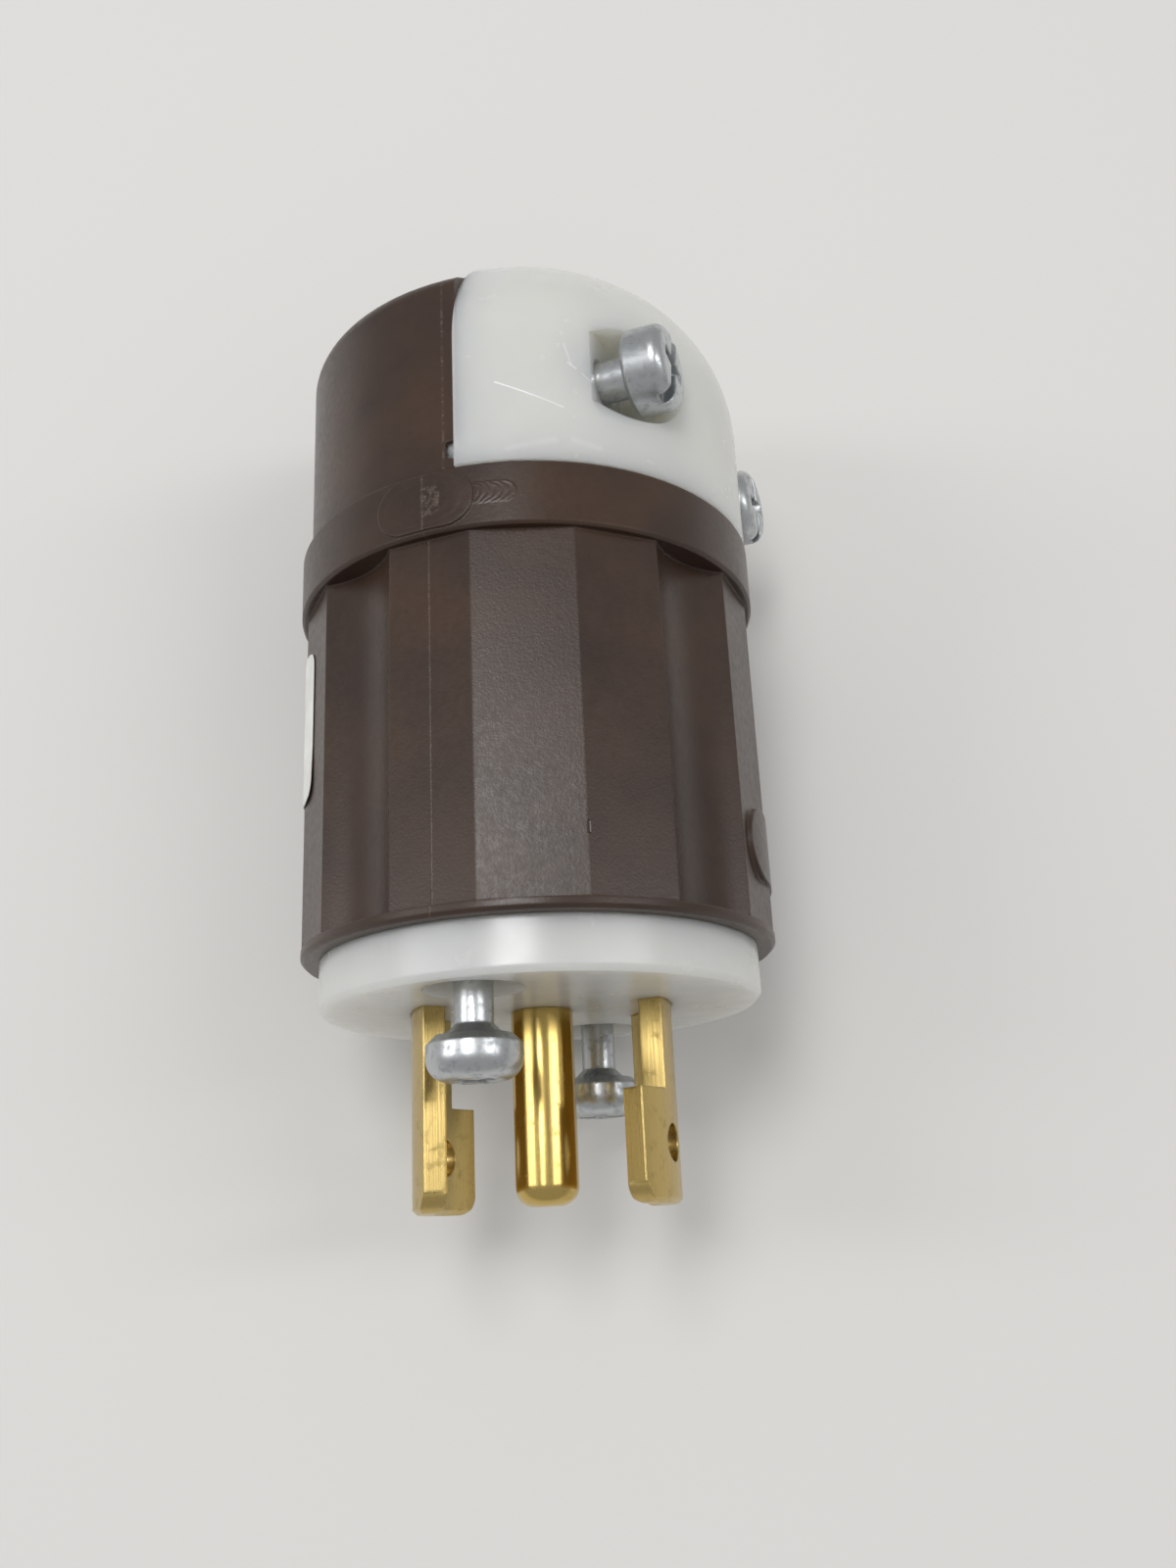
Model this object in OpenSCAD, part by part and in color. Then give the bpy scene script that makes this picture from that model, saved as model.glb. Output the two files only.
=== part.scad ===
// Locking power plug: two hooked arc blades round an earth pin, a fluted
// housing, a separate cord clamp held by two screws, and the wiring block
// with its terminals inside. Millimetres. The plug lies on its side: its
// axis runs along Y, the mating face is at y = 0 and the cord end is at +Y.

/* [Mating face] */
// Radius of the face disc
face_r = 15.3; // [14.8:0.1:15.6]
// Length of the face disc that stands out of the housing
face_t = 3.5; // [3:0.1:4.5]
// Bevel round the face disc's front edge
face_bevel = 0.4; // [0.2:0.1:0.8]

/* [Blades and earth pin] */
// Inner radius of the arc that the blades follow
blade_in_r = 7.4; // [7.2:0.1:7.7]
// Thickness of the blades
blade_t = 1.6; // [1.2:0.1:1.7]
// Length of the blades in front of the face
blade_len = 13.2; // [12:0.1:15]
// Half the angle of a blade's neck
neck_half = 28.5; // [24:0.5:30]
// Angle that a blade's hook stands out past the neck
hook_turn = 18.5; // [14:0.5:22]
// Length of the hook along the blade
hook_len = 7.2; // [6.5:0.1:9]
// Corner rounding at a blade's tip
tip_round = 1.3; // [0.8:0.1:1.6]
// Bevel round a blade's tip
tip_bevel = 0.3; // [0.1:0.1:0.5]
// Radius of the detent hole in a blade's hook
detent_r = 1.25; // [0.8:0.05:1.5]
// Distance of the detent hole from the blade's tip
detent_back = 3.8; // [3:0.1:4.5]
// Radius of the earth pin
pin_r = 2.15; // [1.95:0.05:2.4]
// Length of the earth pin in front of the face
pin_len = 13.0; // [11:0.1:15]
// Rounding at the earth pin's tip
pin_round = 1.3; // [0.6:0.1:1.7]

/* [Housing] */
// Length of the grip from the face disc to the collar
grip_len = 25.5; // [25:0.5:30]
// Length of the round lip in front of the flutes
lip_len = 0.7; // [0.5:0.1:1.2]
// Height of that lip above the corners of the grip's flats
lip_t = 0.06; // [0.04:0.01:0.15]
// Radius at the corners of the grip's flats
grip_r = 16.5; // [16.4:0.05:16.9]
// Half the angle of the middle flat of a land
flat_half = 12; // [10:0.5:14]
// Half the angle of a whole land
land_half = 33; // [31:0.5:35]
// Depth of the flutes below the line between their edges
flute_depth = 1.0; // [0.5:0.1:1.1]
// Bevel round the housing's front edge
housing_bevel = 0.25; // [0.1:0.05:0.5]
// Radius of the collar
collar_r = 16.95; // [16.95:0.05:18]
// Width of the collar
collar_len = 4.7; // [4.4:0.1:6]
// Radius of the housing's bore
bore_r = 13.75; // [13.7:0.05:13.85]
// Thickness of the floor between the wiring space and the cord clamp
floor_t = 2.2; // [1.5:0.1:3]
// Height of the long pad on the grip above its corners
pad_t = 0.12; // [0.05:0.01:0.3]
// Length of that pad round the grip
pad_len = 16; // [10:0.5:17]
// Width of that pad along the grip
pad_w = 5; // [3:0.1:6]
// Distance of that pad's middle from the housing's front edge
pad_back = 6.4; // [5:0.1:18]
// Height of the gate pad on the collar
gate_t = 0.15; // [0.05:0.01:0.3]
// Length of the gate pad round the collar
gate_len = 7.1; // [5:0.1:9]
// Width of the flat under the collar that the plug rests on
rest_w = 5; // [4:0.5:6]

/* [Cord clamp] */
// Radius of the housing's half of the domed end
dome_r = 16.3; // [16.1:0.05:16.6]
// Length of the domed end past the collar
dome_len = 21.9; // [21:0.1:24]
// Radius of the flat round the cord hole at the end
dome_end_r = 7.1; // [6.8:0.1:7.6]
// Length of the housing's slope to that flat
dome_fall = 7.1; // [5:0.1:8]
// Rounding of the edge where the slope starts
dome_round = 1.4; // [0.8:0.1:2.5]
// Radius of the clamp's half of the domed end
clamp_r = 16.85; // [16.6:0.05:16.95]
// Length of the clamp's rounded end
clamp_fall = 12; // [11.8:0.1:13]
// Rounding of the clamp's end
clamp_round = 11.5; // [10:0.1:11.6]
// Height of the housing's parting face above the axis
parting_h = 1.2; // [0.8:0.1:2]
// Gap between the parting faces, with the clamp loose
clamp_gap = 1.0; // [0.2:0.05:1.2]
// Radius of the cord hole
cord_r = 5.5; // [4.5:0.1:5.7]
// Length of plain cord hole at the end
cord_mouth = 6; // [5:0.5:7]
// Number of grip grooves in the cord hole
groove_count = 3; // [1:1:3]
// Depth of the grip grooves
groove_depth = 0.6; // [0.3:0.1:0.9]
// Width of a grip groove
groove_w = 1.6; // [0.8:0.1:1.9]
// Height of the clamp screws' seats above the axis
seat_h = 10.8; // [10.3:0.1:11]
// Width of the pockets that the clamp screws' heads sink into
pocket_w = 7.2; // [6.9:0.1:7.6]
// Radius of the clamp's locating pegs
peg_r = 0.8; // [0.6:0.05:0.85]
// Distance of the pegs from the axis
peg_offset = 15.1; // [14.6:0.1:15.2]
// Distance of the pegs past the collar
peg_back = 2.0; // [1.5:0.1:2.4]
// How far the pegs reach into the housing
peg_reach = 1.0; // [0.6:0.1:1.8]

/* [Screws] */
// Distance of the front screws from the axis
front_screw_offset = 10.7; // [10.5:0.1:10.9]
// Distance of the clamp screws from the axis
clamp_screw_offset = 10.5; // [10.3:0.1:10.8]
// Distance of the clamp screws past the collar
clamp_screw_back = 7.7; // [7.4:0.1:8.6]
// Radius of a front screw's head
front_head_r = 3.05; // [2.7:0.05:3.2]
// Height of a front screw's head
front_head_t = 2.8; // [2.4:0.1:3]
// Radius of a front screw's shank
front_shank_r = 1.25; // [1.1:0.05:1.4]
// Length of a front screw below its head
front_screw_len = 28; // [26:0.5:28]
// How far the near front screw is backed out
near_back_out = 5.8; // [0:0.1:8]
// How far the far front screw is backed out
far_back_out = 6.6; // [0:0.1:8]
// Radius of a clamp screw's head
clamp_head_r = 3.0; // [2.8:0.05:3.3]
// Height of a clamp screw's head
clamp_head_t = 3.0; // [2.6:0.1:3.4]
// Radius of a clamp screw's shank
clamp_shank_r = 1.45; // [1.2:0.05:1.6]
// Length of a clamp screw below its head
clamp_screw_len = 18; // [17.5:0.5:19]
// How far the upper clamp screw is backed out
upper_back_out = 2.2; // [0:0.1:4]
// How far the lower clamp screw is backed out
lower_back_out = 2.4; // [0:0.1:4]
// Side of a clamp nut
nut_side = 5.5; // [5:0.1:5.8]
// Thickness of a clamp nut
nut_t = 2.4; // [2:0.1:2.6]
// Clearance round a shank in a plain hole
shank_clear = 0.3; // [0.2:0.05:0.5]
// Clearance round a thread in its tapped hole
thread_clear = 0.02; // [0.01:0.01:0.05]
// Width of a head's cross recess
recess_w = 0.95; // [0.7:0.05:1.1]
// Depth of a head's cross recess
recess_t = 1.7; // [1.2:0.1:1.9]

/* [Wiring block] */
// Radius of the block and its cover behind the face disc
block_r = 13.6; // [13.5:0.05:13.65]
// Length of the block behind the face disc
block_len = 13; // [12.5:0.5:14]
// Depth of solid block behind the face disc
web_t = 2.5; // [2.5:0.1:3]
// Thickness of the terminal cover
cover_t = 3; // [2.5:0.5:3.5]
// Radius of the wire ports in the terminal cover
port_r = 1.9; // [1.5:0.1:2.1]
// Width of a terminal tail
tail_w = 4.6; // [4:0.1:5]
// Width of a terminal chamber
chamber_w = 6.2; // [5.9:0.1:6.6]
// Distance of the terminal screws from the front of their chambers
terminal_back = 5.2; // [4.5:0.1:6]
// Radius of a terminal screw's head
terminal_head_r = 2.5; // [2:0.1:2.7]
// Height of a terminal screw's head
terminal_head_t = 1.6; // [1.3:0.1:1.8]
// Radius of a terminal screw's shank
terminal_shank_r = 1.4; // [1.1:0.05:1.5]
// How far a terminal screw reaches past the blade's inner side
terminal_tip = 2.4; // [1.8:0.1:3]
// Thickness of a wire clamp plate
plate_t = 1.0; // [0.8:0.1:1.2]
// Side of a wire clamp plate
plate_side = 5.2; // [4.6:0.1:5.6]
// Thickness of the earth strap
strap_t = 1.2; // [0.8:0.1:1.4]
// Gap between parts that slide together
fit_gap = 0.1; // [0.05:0.01:0.15]

/* [Hidden] */
$fn = 72;

// Turn of the clamp's direction above the plane that the plug lies on
clamp_turn = 22.5;
// Turn of the terminals from the clamp's direction
line_turn = 24;
neutral_turn = 204;
earth_turn = 138;
// Lands, and flutes between them, round the grip
land_count = 4;
// How far a cut runs past the face that it starts from
cut = 1;

blade_out_r = blade_in_r + blade_t;
grip_end = face_t + grip_len;
collar_end = grip_end + collar_len;
dome_end = collar_end + dome_len;
floor_at = collar_end - floor_t;
clamp_screw_at = collar_end + clamp_screw_back;
web_at = face_t + web_t;
seat_at = web_at - 1.2;
block_end = face_t + block_len;
cover_end = block_end + cover_t;
terminal_at = web_at + terminal_back;
strap_in_r = blade_out_r - strap_t;
terminal_head_at = block_r - 0.4 - terminal_head_t;
plate_at = terminal_head_at - plate_t;
port_at = (blade_out_r + plate_at) / 2;
core_hole_r = 3;
boss_r = front_shank_r + 1.9;
boss_gap = 0.2;
head_sink = front_head_t + 0.1;
stem_r = 1.6;
rivet_r = 2.4;
rivet_t = 1;
nut_top = -1.6;
clamp_clear = 0.05;
wire_hole_r = cord_r + 0.3;
lip_r = grip_r + lip_t;
pad_r = grip_r + pad_t;
gate_r = collar_r + gate_t;
brass = [0.80, 0.66, 0.28];
white = [0.90, 0.91, 0.88];
brown = [0.24, 0.17, 0.14];
steel = [0.70, 0.71, 0.72];
green = [0.30, 0.52, 0.34];
tan = [0.62, 0.50, 0.36];

// Lays the plug on its side, with the clamp turned up from the right.
module lay() rotate([-90, 0, 0]) rotate(-clamp_turn) children();

// A round bar along +X from radius r0 to radius r1.
module radial_bar(r, r0, r1)
    translate([r0, 0, 0]) rotate([0, 90, 0]) cylinder(r = r, h = r1 - r0);

// A round-ended bar along +X, long round the axis and narrow along it.
module radial_slab(length, width, r0, r1) {
    for (side = [-1, 1])
        translate([0, side * (length - width) / 2, 0]) radial_bar(width / 2, r0, r1);
    translate([r0, -(length - width) / 2, -width / 2]) cube([r1 - r0, length - width, width]);
}

// A ring between two radii, from height z0 to z1.
module ring(r_in, r_out, z0, z1)
    translate([0, 0, z0]) difference() {
        cylinder(r = r_out, h = z1 - z0);
        translate([0, 0, -cut]) cylinder(r = r_in, h = z1 - z0 + 2 * cut);
    }

// Everything past an angle: on the far side of it for s = 1, before it for s = -1.
module past_angle(turn, s, r, z0, z1)
    rotate(turn) translate([-2 * r, s > 0 ? 0 : -2 * r, z0]) cube([4 * r, 2 * r, z1 - z0]);

// ---- screws and nuts --------------------------------------------------------

// A cross recess sunk from height t, its wings running in to a point.
module cross_recess(t, wing)
    intersection() {
        for (a = [0, 90])
            rotate(a) translate([-wing, -recess_w / 2, t - recess_t]) cube([2 * wing, recess_w, recess_t + cut]);
        translate([0, 0, t - recess_t]) cylinder(r1 = recess_w / 2, r2 = wing + cut * 0.6, h = recess_t + cut);
    }

// A pan head standing on z = 0: a bevelled under-edge, a rim, a round crown.
module pan_head(r, t, crown, under)
    rotate_extrude() {
        polygon([[0, 0], [r - under, 0], [r, under], [r, t - crown], [r - crown, t - crown], [r - crown, t], [0, t]]);
        translate([r - crown, t - crown]) circle(r = crown);
    }

// A shank below z = 0, flared under the head and bevelled at its tip.
module shank(r, length, flare)
    rotate_extrude()
        polygon([[0, 0], [r + flare, 0], [r, -flare], [r, r * 0.4 - length], [r * 0.6, -length], [0, -length]]);

// Side is -1 for the near front screw and 1 for the far one.
module front_screw(side, back_out)
    color(steel) translate([0, side * front_screw_offset, head_sink - back_out]) rotate([180, 0, side * 20]) {
        difference() {
            pan_head(front_head_r, front_head_t, front_head_t * 0.5, front_head_t * 0.2);
            cross_recess(front_head_t, front_head_r * 0.6);
        }
        shank(front_shank_r, front_screw_len, 0.7);
    }

// Side is -1 for the upper clamp screw and 1 for the lower one.
module clamp_screw(side, back_out)
    color(steel) translate([seat_h + back_out, side * clamp_screw_offset, clamp_screw_at])
        rotate([0, 90, 0]) rotate(side * 12) {
            difference() {
                pan_head(clamp_head_r, clamp_head_t, clamp_head_t * 0.3, 0.3);
                cross_recess(clamp_head_t, clamp_head_r * 0.6);
                translate([-2 * clamp_head_r, -recess_w / 2, clamp_head_t - recess_t * 0.55])
                    cube([4 * clamp_head_r, recess_w, recess_t]);
            }
            shank(clamp_shank_r, clamp_screw_len, 0.25);
        }

// A square nut, drawn up against the roof of its pocket.
module clamp_nut(side)
    color(steel) translate([0, side * clamp_screw_offset, clamp_screw_at]) difference() {
        translate([nut_top - nut_t, -nut_side / 2, -nut_side / 2]) cube([nut_t, nut_side, nut_side]);
        radial_bar(clamp_shank_r + thread_clear, nut_top - nut_t - cut, nut_top + cut);
    }

// ---- housing and cord clamp -------------------------------------------------

// The grip's outline: lands of three flats, with a round flute between lands.
module grip_outline() {
    pitch = 360 / land_count;
    edge_turn = pitch / 2 - land_half;
    half_chord = grip_r * sin(edge_turn) + 0.15;
    chord_at = grip_r * cos(edge_turn);
    flute_r = (pow(half_chord, 2) + pow(flute_depth, 2)) / (2 * flute_depth);
    difference() {
        polygon([for (k = [0:land_count - 1], a = [-land_half, -flat_half, flat_half, land_half])
            grip_r * [cos(clamp_turn + k * pitch + a), sin(clamp_turn + k * pitch + a)]]);
        for (k = [0:land_count - 1])
            rotate(clamp_turn + (k + 0.5) * pitch)
                translate([chord_at - flute_depth + flute_r, 0]) circle(r = flute_r);
    }
}

module grip() {
    translate([0, 0, face_t + lip_len]) linear_extrude(grip_len - lip_len) grip_outline();
    translate([0, 0, face_t]) rotate_extrude()
        polygon([[0, 0], [lip_r - housing_bevel, 0], [lip_r, housing_bevel], [lip_r, lip_len], [0, lip_len]]);
}

// The collar, with a narrow flat at its lowest side.
module collar() {
    bevel = 0.2;
    rest_at = sqrt(pow(collar_r, 2) - pow(rest_w / 2, 2));
    difference() {
        translate([0, 0, grip_end]) rotate_extrude()
            polygon([[0, 0], [collar_r - bevel, 0], [collar_r, bevel], [collar_r, collar_len - bevel],
                     [collar_r - bevel, collar_len], [0, collar_len]]);
        rotate(clamp_turn + 90) translate([rest_at, -rest_w, grip_end - cut]) cube([cut, 2 * rest_w, collar_len + 2 * cut]);
    }
}

// A domed end: a straight wall, a rounding and a slope down to the end's flat.
module dome(r, fall, round_r) {
    round_at = r - round_r;
    wall = dome_len - fall;
    reach = norm([dome_end_r - round_at, fall]);
    slope_turn = atan2(fall, dome_end_r - round_at) - acos(min(1, round_r / reach));
    slope_at = [round_at + round_r * cos(slope_turn), wall + round_r * sin(slope_turn)];
    translate([0, 0, collar_end]) rotate_extrude() {
        polygon([[0, 0], [r, 0], [r, wall], slope_at, [dome_end_r, dome_len], [0, dome_len]]);
        intersection() {
            translate([round_at, wall]) circle(r = round_r);
            polygon([[round_at, wall], [r + cut, wall], [r + cut, slope_at[1]], slope_at]);
        }
    }
}

// The cord hole with its grip grooves and a bell mouth at the end.
module cord_hole() {
    bell = 0.8;
    groove_step = (dome_len - cord_mouth) / (groove_count + 1);
    translate([0, 0, collar_end - cut]) cylinder(r = cord_r, h = dome_len + 2 * cut);
    translate([0, 0, dome_end - bell]) cylinder(r1 = cord_r, r2 = cord_r + 2 * bell, h = 2 * bell);
    for (i = [1:groove_count])
        translate([0, 0, collar_end + i * groove_step - groove_w / 2])
            cylinder(r = cord_r + groove_depth, h = groove_w);
}

// The clamp's locating pegs, or their sockets when given a gap.
module clamp_pegs(gap = 0)
    for (side = [-1, 1])
        translate([0, side * peg_offset, collar_end + peg_back])
            radial_bar(peg_r + gap, parting_h - peg_reach - gap, parting_h + clamp_gap + 0.5);

// Raised pads: a long one on the right land, a short one at the gate.
module pads() {
    intersection() {
        rotate(clamp_turn) translate([0, 0, face_t + pad_back]) radial_slab(pad_len, pad_w, bore_r, collar_r);
        translate([0, 0, face_t]) cylinder(r = pad_r, h = grip_len);
    }
    intersection() {
        rotate(-90) translate([0, 0, grip_end + collar_len / 2])
            radial_slab(gate_len, collar_len - 0.6, bore_r + 0.5, gate_r + cut);
        translate([0, 0, grip_end]) cylinder(r = gate_r, h = collar_len);
    }
}

// Two posts from the floor that take the front screws.
module screw_bosses()
    intersection() {
        translate([0, 0, cover_end + boss_gap]) cylinder(r = bore_r + 0.5, h = floor_at - cover_end - boss_gap + 0.5);
        for (side = [-1, 1]) {
            translate([0, side * front_screw_offset, cover_end]) cylinder(r = boss_r, h = floor_at - cover_end + cut);
            translate([-boss_r / 2, side > 0 ? front_screw_offset : -bore_r - cut, cover_end])
                cube([boss_r, bore_r + cut - front_screw_offset, floor_at - cover_end + cut]);
        }
    }

// A slot from the cord hole that a clamp nut slides into, out to its seat.
module nut_slot(side) {
    out = clamp_screw_offset + nut_side / 2 + fit_gap;
    translate([nut_top - nut_t - fit_gap, side > 0 ? 0 : -out, clamp_screw_at - nut_side / 2 - fit_gap])
        cube([nut_t + fit_gap, out, nut_side + 2 * fit_gap]);
}

module housing()
    color(brown) difference() {
        union() {
            difference() {
                union() {
                    grip();
                    collar();
                    difference() {
                        dome(dome_r, dome_fall, dome_round);
                        translate([parting_h, -2 * dome_r, collar_end]) cube([4 * dome_r, 4 * dome_r, dome_len + cut]);
                    }
                    pads();
                }
                translate([0, 0, face_t - cut]) cylinder(r = bore_r, h = floor_at - face_t + cut);
            }
            screw_bosses();
        }
        translate([0, 0, floor_at - cut]) cylinder(r = wire_hole_r, h = floor_t + cut);
        cord_hole();
        for (side = [-1, 1]) {
            translate([0, side * front_screw_offset, cover_end])
                cylinder(r = front_shank_r + thread_clear, h = floor_at - cover_end);
            translate([0, side * clamp_screw_offset, clamp_screw_at])
                radial_bar(clamp_shank_r + shank_clear, seat_h - clamp_screw_len - cut, parting_h + cut);
            nut_slot(side);
        }
        clamp_pegs(fit_gap);
    }

module cord_clamp()
    color(white) difference() {
        union() {
            intersection() {
                dome(clamp_r, clamp_fall, clamp_round);
                translate([parting_h + clamp_gap, -2 * clamp_r, collar_end + clamp_clear])
                    cube([2 * clamp_r, 4 * clamp_r, dome_len]);
            }
            clamp_pegs();
        }
        cord_hole();
        for (side = [-1, 1])
            translate([0, side * clamp_screw_offset, clamp_screw_at]) {
                radial_bar(clamp_shank_r + shank_clear, parting_h - cut, clamp_r);
                radial_bar(pocket_w / 2, seat_h, 2 * clamp_r);
            }
    }

// ---- wiring block -----------------------------------------------------------

// The hollow for one terminal: an open chamber with a port for its screw's tip.
module chamber(turn)
    rotate(turn) {
        intersection() {
            ring(blade_in_r - fit_gap, block_r + cut, web_at, block_end + cut);
            translate([0, -chamber_w / 2, web_at]) cube([block_r + cut, chamber_w, block_len]);
        }
        translate([0, 0, terminal_at]) radial_bar(terminal_shank_r + shank_clear, blade_in_r - terminal_tip - cut, blade_in_r + cut);
    }

// The slot that a blade is pushed into: as wide as its neck down to a seat,
// then as wide as its tail.
module blade_slot(turn)
    rotate(turn) {
        gap_turn = 180 / PI * fit_gap / blade_in_r;
        difference() {
            ring(blade_in_r - fit_gap, blade_out_r + fit_gap, -cut, seat_at);
            past_angle(neck_half + gap_turn, 1, face_r, -2 * cut, seat_at + cut);
            past_angle(-neck_half - gap_turn, -1, face_r, -2 * cut, seat_at + cut);
        }
        intersection() {
            ring(blade_in_r - fit_gap, blade_out_r + fit_gap, -cut, web_at + cut);
            translate([0, -tail_w / 2 - fit_gap, 0]) cube([face_r, tail_w + 2 * fit_gap, web_at + cut]);
        }
    }

module contact_carrier()
    color(white) difference() {
        rotate_extrude()
            polygon([[0, 0], [face_r - face_bevel, 0], [face_r, face_bevel], [face_r, face_t],
                     [block_r, face_t], [block_r, block_end], [0, block_end]]);
        blade_slot(line_turn);
        blade_slot(neutral_turn);
        chamber(line_turn);
        chamber(neutral_turn);
        chamber(earth_turn);
        translate([0, 0, -cut]) cylinder(r = stem_r + fit_gap, h = web_at + 2 * cut);
        translate([0, 0, web_at + strap_t / 2]) cylinder(r = core_hole_r, h = block_len);
        rotate(earth_turn) translate([-tail_w / 2 - fit_gap, -tail_w / 2 - fit_gap, web_at])
            cube([blade_out_r + tail_w / 2, tail_w + 2 * fit_gap, block_len]);
        for (side = [-1, 1])
            translate([0, side * front_screw_offset, -cut]) {
                cylinder(r = front_shank_r + shank_clear, h = block_end + 2 * cut);
                cylinder(r = front_head_r + 0.2, h = head_sink + cut);
            }
    }

module terminal_cover()
    color(tan) difference() {
        translate([0, 0, block_end]) rotate_extrude()
            polygon([[0, 0], [block_r, 0], [block_r, cover_t - 0.5], [block_r - 0.5, cover_t], [0, cover_t]]);
        for (a = [line_turn, neutral_turn, earth_turn])
            rotate(a) translate([port_at, 0, block_end - cut]) cylinder(r = port_r, h = cover_t + 2 * cut);
        for (side = [-1, 1])
            translate([0, side * front_screw_offset, block_end - cut])
                cylinder(r = front_shank_r + shank_clear, h = cover_t + 2 * cut);
    }

// ---- blades, earth pin and terminals ----------------------------------------

// What rounds off a blade's tip corner, centred at an angle, outward for s.
module tip_corner(turn, s)
    rotate(turn) difference() {
        translate([blade_in_r - cut, s > 0 ? 0 : -3 * tip_round, -blade_len - cut])
            cube([blade_t + 2 * cut, 3 * tip_round, tip_round + cut]);
        translate([0, 0, tip_round - blade_len]) radial_bar(tip_round, blade_in_r - 2 * cut, blade_out_r + 2 * cut);
    }

// A blade: its hook with a detent hole, its neck, and a tail for its terminal.
module blade(turn)
    color(brass) rotate(turn) {
        corner = 180 / PI * tip_round / blade_in_r;
        hook_at = -neck_half - hook_turn;
        tail_end = block_end - 1;
        difference() {
            rotate_extrude()
                polygon([[blade_in_r, tip_bevel - blade_len], [blade_in_r + tip_bevel, -blade_len],
                         [blade_out_r - tip_bevel, -blade_len], [blade_out_r, tip_bevel - blade_len],
                         [blade_out_r, tail_end], [blade_in_r, tail_end]]);
            past_angle(neck_half, 1, face_r, -blade_len - cut, tail_end + cut);
            past_angle(hook_at, -1, face_r, -blade_len - cut, tail_end + cut);
            past_angle(-neck_half, -1, face_r, hook_len - blade_len, tail_end + cut);
            for (side = [-1, 1])
                translate([0, side > 0 ? tail_w / 2 : -tail_w / 2 - face_r, seat_at]) cube([face_r, face_r, block_len]);
            tip_corner(neck_half - corner, 1);
            tip_corner(hook_at + corner, -1);
            rotate(-neck_half + 7) translate([0, 0, detent_back - blade_len])
                radial_bar(detent_r, blade_in_r - cut, blade_out_r + cut);
            translate([0, 0, terminal_at])
                radial_bar(terminal_shank_r + thread_clear, blade_in_r - cut, blade_out_r + cut);
        }
    }

// The round pin, its thinner stem, and the head staked over the strap.
module earth_pin()
    color(brass) {
        translate([0, 0, -pin_len]) rotate_extrude() {
            polygon([[0, 0], [pin_r - pin_round, 0], [pin_r - pin_round, pin_round], [pin_r, pin_round],
                     [pin_r, pin_len], [0, pin_len]]);
            intersection() {
                translate([pin_r - pin_round, pin_round]) circle(r = pin_round);
                square([pin_r, pin_len]);
            }
        }
        cylinder(r = stem_r, h = web_at + strap_t);
        translate([0, 0, web_at + strap_t]) cylinder(r1 = rivet_r, r2 = rivet_r - 0.5, h = rivet_t);
    }

// The strap from the pin's staked head out to the earth terminal.
module earth_strap()
    color(brass) rotate(earth_turn) {
        tail_end = block_end - 1;
        difference() {
            union() {
                intersection() {
                    translate([-tail_w / 2, -tail_w / 2, web_at]) cube([2 * blade_out_r, tail_w, strap_t]);
                    translate([0, 0, web_at]) cylinder(r = blade_out_r, h = strap_t);
                    union() {
                        translate([0, 0, web_at]) cylinder(r = tail_w / 2, h = strap_t);
                        translate([0, -tail_w / 2, web_at]) cube([2 * blade_out_r, tail_w, strap_t]);
                    }
                }
                intersection() {
                    ring(strap_in_r, blade_out_r, web_at, tail_end);
                    translate([0, -tail_w / 2, web_at]) cube([face_r, tail_w, block_len]);
                }
            }
            translate([0, 0, web_at - cut]) cylinder(r = stem_r + thread_clear, h = strap_t + 2 * cut);
            translate([0, 0, terminal_at])
                radial_bar(terminal_shank_r + thread_clear, strap_in_r - cut, blade_out_r + cut);
        }
    }

module terminal_screw(turn, tint)
    color(tint) rotate(turn) translate([terminal_head_at, 0, terminal_at]) rotate([0, 90, 0]) {
        difference() {
            pan_head(terminal_head_r, terminal_head_t, 0.5, 0.2);
            translate([-2 * terminal_head_r, -0.4, terminal_head_t - 0.8]) cube([4 * terminal_head_r, 0.8, 1]);
        }
        shank(terminal_shank_r, terminal_head_at - blade_in_r + terminal_tip, 0);
    }

// A wire clamp plate under its screw's head, with a lip turned in at the front.
module wire_clamp(turn)
    color(steel) rotate(turn) translate([0, 0, terminal_at]) difference() {
        translate([plate_at, -plate_side / 2, -plate_side / 2]) {
            cube([plate_t, plate_side, plate_side]);
            translate([-0.5, 0, 0]) cube([plate_t, plate_side, 0.7]);
        }
        radial_bar(terminal_shank_r + 0.15, plate_at - cut, plate_at + plate_t + cut);
    }

lay() housing();
lay() cord_clamp();
lay() contact_carrier();
lay() terminal_cover();
lay() blade(line_turn);  // line_blade
lay() blade(neutral_turn);  // neutral_blade
lay() earth_pin();
lay() earth_strap();
lay() terminal_screw(line_turn, brass);  // line_terminal_screw
lay() terminal_screw(neutral_turn, steel);  // neutral_terminal_screw
lay() terminal_screw(earth_turn, green);  // earth_terminal_screw
lay() wire_clamp(line_turn);  // line_wire_clamp
lay() wire_clamp(neutral_turn);  // neutral_wire_clamp
lay() wire_clamp(earth_turn);  // earth_wire_clamp
lay() front_screw(-1, near_back_out);  // near_front_screw
lay() front_screw(1, far_back_out);  // far_front_screw
lay() clamp_screw(-1, upper_back_out);  // upper_clamp_screw
lay() clamp_screw(1, lower_back_out);  // lower_clamp_screw
lay() clamp_nut(-1);  // upper_clamp_nut
lay() clamp_nut(1);  // lower_clamp_nut
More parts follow.
